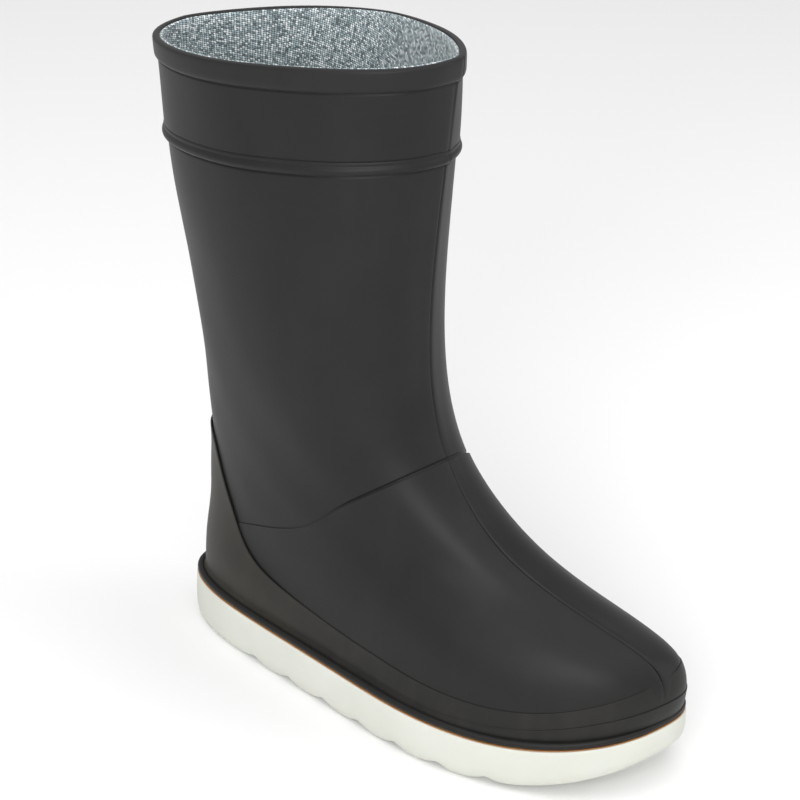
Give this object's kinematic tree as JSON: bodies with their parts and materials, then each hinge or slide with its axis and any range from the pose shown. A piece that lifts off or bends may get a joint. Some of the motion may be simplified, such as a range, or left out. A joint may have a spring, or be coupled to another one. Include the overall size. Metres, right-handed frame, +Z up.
{
  "type": "deck boot",
  "caption": "Calf-length rubber deck boot with a knitted lining, rolled collar, wrapped mudguard and a pale grooved non-slip sole.",
  "frame": {"origin": "on the ground, at the middle of the heel's tread", "axes": "+X towards the toe, +Y towards the inner side of the foot, +Z up the leg"},
  "size_m": [0.3073, 0.1121, 0.3369],
  "materials": {
    "outsole": "matte white rubber with a fine moulded grain",
    "gum_layer": "thin amber gum rubber, satin",
    "midsole_filler": "expanded foam filler, matt",
    "insole_board": "pressed fibre board, matt",
    "footbed_foam": "soft foam, matt",
    "footbed_cloth": "knitted cloth, matt",
    "lining": "blue-grey ribbed knit with light and dark flecks",
    "stiffener": "rubberised canvas, matt",
    "upper_rubber": "soft black rubber, matt with a low sheen",
    "strip_rubber": "black rubber, slightly warmer and drier than the leg",
    "piping_rubber": "black rubber, satin",
    "binding_rubber": "black rubber tape, matt"
  },
  "bodies": {
    "root": {"outsole": "outsole", "gum_layer": "gum_layer", "midsole_filler": "midsole_filler", "insole_board": "insole_board", "footbed_foam": "footbed_foam", "footbed_cloth": "footbed_cloth", "foot_lining": "lining", "leg_lining": "lining", "heel_stiffener": "stiffener", "toe_puff": "stiffener", "vamp_lateral": "upper_rubber", "vamp_medial": "upper_rubber", "leg_lateral": "upper_rubber", "leg_medial": "upper_rubber", "mudguard": "strip_rubber", "foxing_strip": "strip_rubber", "sole_piping": "piping_rubber", "cuff_band": "upper_rubber", "cuff_bead": "upper_rubber", "collar_binding": "binding_rubber"}
  },
  "joints": []
}
